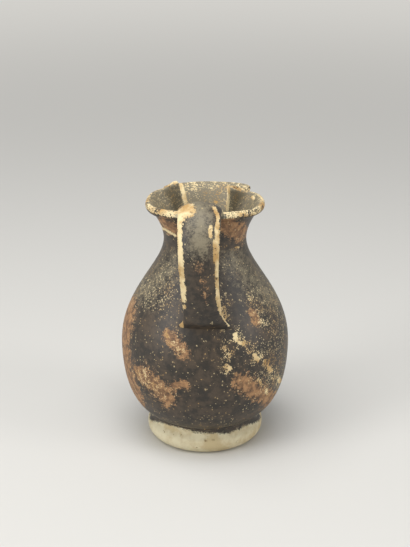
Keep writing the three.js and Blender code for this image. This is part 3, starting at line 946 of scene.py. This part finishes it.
@dataclass(frozen=True)
class StrapHandle:
    """The pulled strap and the clay pressed round both of its ends, in millimetres."""

    body: Body
    mouth: NeckAndMouth
    top_width: float = 24.6
    lower_width: float = 21.8
    crown: float = 4.15
    hollow_side: float = 2
    edge: float = 1.4
    rise: float = 4.8
    crest_out: float = 9.6
    reach: float = 54
    reach_height: float = 132
    root_height: float = 89
    top_shift: float = -1.3
    root_shift: float = 1.5
    root_dive: float = math.radians(40)
    root_bury: float = 2.8
    root_flattening: float = 0.8
    luting_edge: float = 0.05
    luting_flare: float = 0.9
    luting_swell: float = 0.12
    upper_luting: float = 5.5
    upper_spread: float = 2
    lower_luting: float = 13
    lower_spread: float = 3.2
    # Shares of the way between the path's points at which its curves take their direction.
    lift: float = 0.6
    lean: float = 0.125
    crest_lead: float = 0.4
    crest_run: float = 0.55
    shoulder_drop: float = 0.5
    reach_drop: float = 0.4
    dive_lead: float = 0.3
    path_steps: int = 300
    strap_steps: int = 220
    upper_steps: int = 28
    lower_steps: int = 44
    sides: int = 72
    edge_power: float = 0.8
    taper_limits: Limits = (0.15, 0.7)
    thin_from: float = 0.9
    flatten_from: float = 0.91
    upper_bare: float = 0.45
    painted_sheen_share: float = 0.75
    tan_share: float = 0.48
    even_specks: float = 0.03
    clay_marks: Marks = marks(
        (2.6, 179.6, 224, 180, 253, 181, 266, 183, 288, 183.4, 300),
        (2.6, 180, 307, 183.5, 307),
        (1.8, 181, 322, 182, 329),
        (1.8, 214, 208, 217.5, 214, 217.6, 224),
        (2.2, 217.4, 224, 217.2, 253, 217.8, 285, 218.4, 300, 221, 312, 229, 324),
        (6.5, 175, 222, 182, 213.5, 189, 209.5),
        (1.8, 210.5, 227, 210.5, 236),
        (1, 214, 240, 214.5, 262),
    )
    # Painted grey sheen where the light from above falls on the strap's crown.
    painted_sheen_marks: Marks = marks((15, 198, 206, 200, 222, 200, 244))
    tan_marks: Marks = marks((6, 198, 262, 206, 300))

    def path(self) -> Array:
        """The centre line: up off the lip, back over the crest, down, and in to the shoulder."""
        lip_y = -self.mouth.back - self.mouth.lip_projection
        start = np.array([self.top_shift, lip_y, self.mouth.height - self.mouth.lip_depth / 2])
        crest = np.array([self.top_shift, -self.mouth.back - self.crest_out, self.mouth.height + self.rise])
        reach = np.array([self.top_shift, -self.reach, self.reach_height])
        root_y = self.body.wall / 2 - self.body.shoulder_radius(self.root_height)
        root = np.array([self.root_shift, root_y, self.root_height])
        dive = np.array([0, math.sin(self.root_dive), -math.cos(self.root_dive)])
        up = start + [0, -self.crest_out * self.lean, self.rise * self.lift]
        over = crest + [0, self.crest_out * self.crest_lead, 0]
        back = crest + [0, (reach[1] - crest[1]) * self.crest_run, 0]
        down = reach + [0, 0, (crest[2] - reach[2]) * self.shoulder_drop]
        onwards = reach + [0, 0, (root[2] - reach[2]) * self.reach_drop]
        into = root + dive * (root[2] - reach[2]) * self.dive_lead
        controls = ([start, up, over, crest], [crest, back, down, reach], [reach, onwards, into, root])
        curves = [bezier(points, self.path_steps) for points in controls]
        return np.concatenate([curves[0], curves[1][1:], curves[2][1:]])

    def sleeve(
        self,
        start: float,
        end: float,
        steps: int,
        clearance: float,
        spread: float = 0,
        plain: float = 0,
        full: float = 1,
    ) -> Array:
        """Lays the strap's crowned section along a stretch of the path.

        The section's height is the sine of its angle times the edge's half thickness, plus a
        bulge that falls off with the square of the place across the strap.

        Args:
            start: Share of the path's length at the first ring.
            end: Share at the last ring; over 1 runs straight on into the shoulder's wall.
            steps: Number of spans.
            clearance: How far the surface stands off the plain strap.
            spread: Extra width, a little of which is extra thickness too.
            plain: Share at which the extra width starts, to grow with the square of the distance.
            full: Share at which all of it is there.

        Returns:
            Grid of rings.
        """
        path = self.path()
        lengths = arc_lengths(path)
        whole = lengths[-1]
        share = np.linspace(start, end, steps + 1)
        walked = share * whole + clearance * np.linspace(-1, 1, steps + 1)
        tangents = np.gradient(path, lengths, axis=0)
        centre = np.stack([np.interp(walked, lengths, path[:, axis]) for axis in range(3)], axis=1)
        along = np.stack([np.interp(walked, lengths, tangents[:, axis]) for axis in range(3)], axis=1)
        along /= np.linalg.norm(along, axis=1)[:, None]
        past = np.maximum(walked - whole, 0) + np.minimum(walked, 0)
        centre += along * past[:, None]
        across = np.array([1.0, 0, 0]) - along * along[:, :1]
        across /= np.linalg.norm(across, axis=1)[:, None]
        outwards = np.cross(along, across)
        extra = spread * ((share - plain) / (full - plain)) ** 2
        taper = smoothstep(share, *self.taper_limits)
        half_width = (self.top_width + (self.lower_width - self.top_width) * taper) / 2 + clearance + extra
        thicker = clearance * (1 - smoothstep(share, self.thin_from, 1)) + extra * self.luting_swell
        angle = np.arange(self.sides) / self.sides * 2 * np.pi
        wide = np.sign(np.cos(angle)) * np.abs(np.cos(angle)) ** self.edge_power
        bulge = np.where(np.sin(angle) > 0, self.crown - self.edge, self.edge - self.hollow_side)
        flat = 1 - self.root_flattening * smoothstep(share, self.flatten_from, 1)
        high = np.sin(angle) * (self.edge + thicker[:, None]) + flat[:, None] * bulge * (1 - wide**2)
        return (
            centre[:, None, :]
            + across[:, None, :] * (half_width[:, None] * wide)[:, :, None]
            + outwards[:, None, :] * high[:, :, None]
        )

    def build(self, gloss: Material, clay: Material) -> None:
        """Makes the strap, the clay at the lip and the clay at the shoulder.

        Args:
            gloss: The finish of the strap and of the clay at the shoulder.
            clay: The finish of the clay at the lip.
        """
        whole = arc_lengths(self.path())[-1]
        past = 1 + self.root_bury / whole
        upper_end = self.upper_luting / whole
        lower_start = 1 - self.lower_luting / whole
        upper_spread = self.upper_spread + self.luting_flare
        lower_spread = self.lower_spread + self.luting_flare
        edge = self.luting_edge
        strap = self.sleeve(0, past, self.strap_steps, 0)
        upper = self.sleeve(0, upper_end, self.upper_steps, edge, upper_spread, upper_end, 0)
        lower = self.sleeve(lower_start, past, self.lower_steps, edge, lower_spread, lower_start, 1)
        for name, grid, finish, node, slot, bare in (
            ("strap_handle_skin", strap, gloss, "strap_handle", "black_gloss", 0),
            ("upper_luting_skin", upper, clay, "upper_handle_luting", "bare_clay", self.upper_bare),
            ("lower_luting_skin", lower, gloss, "lower_handle_luting", "black_gloss", 0),
        ):
            skin = Skin(name, grid, False, finish)
            fields = {
                Wear.CLAY: np.maximum(skin.marked(self.clay_marks), bare),
                Wear.TAN: self.tan_share * skin.marked(self.tan_marks),
                Wear.BLOOM: self.painted_sheen_share * skin.marked(self.painted_sheen_marks),
                Wear.SPECKS: np.full(len(skin.points), self.even_specks),
            }
            skin.finish(node, slot, fields)


@dataclass(frozen=True)
class SoftLight:
    """A rectangular lamp, with its place and size in metres."""

    name: str
    place: tuple[float, float, float]
    width: float
    height: float
    watts: float
    target: tuple[float, float, float] = (0, 0, 0.09)

    def build(self) -> None:
        """Adds the lamp and points it at the jug's belly."""
        data = bpy.data.lights.new(self.name, "AREA")
        data.shape = "RECTANGLE"
        data.size = self.width
        data.size_y = self.height
        data.energy = self.watts
        lamp = bpy.data.objects.new(self.name, data)
        lamp.location = self.place
        away = Vector(self.target) - lamp.location
        lamp.rotation_mode = "QUATERNION"
        lamp.rotation_quaternion = away.to_track_quat("-Z", "Y")
        bpy.context.scene.collection.objects.link(lamp)


@dataclass(frozen=True)
class Studio:
    """The plain floor, the lamps and the faint even light of the room."""

    floor_half: float = 60
    floor_colour: str = "#cfcdc8"
    floor_roughness: float = 0.9
    far_colour: str = "#d3d1cc"
    far_strength: float = 1.0
    fade_from: float = 0.35
    fade_to: float = 1.5
    room_colour: str = "#f2f4f6"
    room_strength: float = 0.35
    lamps: tuple[SoftLight, ...] = (
        SoftLight("top_lamp", place=(-0.1, -0.25, 1.1), width=0.9, height=0.7, watts=11),
        SoftLight("left_lamp", place=(-1.0, -0.7, 0.55), width=0.5, height=0.9, watts=7),
        SoftLight("right_lamp", place=(1.1, -0.4, 0.5), width=0.4, height=0.8, watts=4.5),
    )

    def looked_at(self, tree: NodeTree) -> Node:
        """Gives 1 for rays from the camera, in reflections and through glass, and 0 for light."""
        path = add_node(tree, "LightPath", {}).outputs
        seen = {0: path["Is Camera Ray"], 1: path["Is Glossy Ray"]}
        mirrored = add_node(tree, "Math", seen, operation="MAXIMUM")
        either = {0: mirrored, 1: path["Is Transmission Ray"]}
        return add_node(tree, "Math", either, operation="MAXIMUM")

    def floor_paint(self) -> Material:
        """Makes the floor's matt paint, which fades into the even backdrop away from the jug."""
        material = bpy.data.materials.new("floor_paint")
        material.use_nodes = True
        tree = material.node_tree
        tree.nodes.clear()
        paint = {"Base Color": self.floor_colour, "Roughness": self.floor_roughness}
        near = add_node(tree, "BsdfPrincipled", paint)
        glow = {"Color": self.far_colour, "Strength": self.far_strength}
        far = add_node(tree, "Emission", glow)
        spot = add_node(tree, "TexCoord", {}).outputs["Object"]
        distance = add_node(tree, "VectorMath", {0: spot}, operation="LENGTH").outputs["Value"]
        limits = {"Value": distance, "From Min": self.fade_from, "From Max": self.fade_to}
        fade = add_node(tree, "MapRange", limits, interpolation_type="SMOOTHSTEP")
        share = add_node(tree, "Math", {0: fade, 1: self.looked_at(tree)}, operation="MULTIPLY")
        mixed = add_node(tree, "MixShader", {0: share, 1: near, 2: far})
        add_node(tree, "OutputMaterial", {0: mixed})
        return material

    def build(self) -> None:
        """Adds the floor, the lamps and the world."""
        half = self.floor_half
        mesh = bpy.data.meshes.new("floor")
        corners = [(-half, -half, 0), (half, -half, 0), (half, half, 0), (-half, half, 0)]
        mesh.from_pydata(corners, [], [(0, 1, 2, 3)])
        mesh.materials.append(self.floor_paint())
        floor = bpy.data.objects.new("floor", mesh)
        bpy.context.scene.collection.objects.link(floor)
        world = bpy.data.worlds.new("room")
        world.use_nodes = True
        tree = world.node_tree
        tree.nodes.clear()
        light = {"Color": self.room_colour, "Strength": self.room_strength}
        room = add_node(tree, "Background", light)
        pale = {"Color": self.far_colour, "Strength": self.far_strength}
        far = add_node(tree, "Background", pale)
        mixed = add_node(tree, "MixShader", {0: self.looked_at(tree), 1: room, 2: far})
        add_node(tree, "OutputWorld", {0: mixed})
        bpy.context.scene.world = world
        bpy.context.scene.view_settings.view_transform = "Standard"
        for lamp in self.lamps:
            lamp.build()


def main() -> None:
    """Builds the finishes, the jug's pieces, the studio and the camera."""
    logging.basicConfig(level=logging.INFO)
    gloss = GLOSS_FINISH.build()
    clay = CLAY_FINISH.build()
    body = Body()
    mouth = NeckAndMouth(body)
    FootRing().build(clay)
    body.build(gloss)
    mouth.build(gloss)
    StrapHandle(body, mouth).build(gloss, clay)
    Studio().build()
    VIEW.make_camera()


if __name__ == "__main__":
    main()
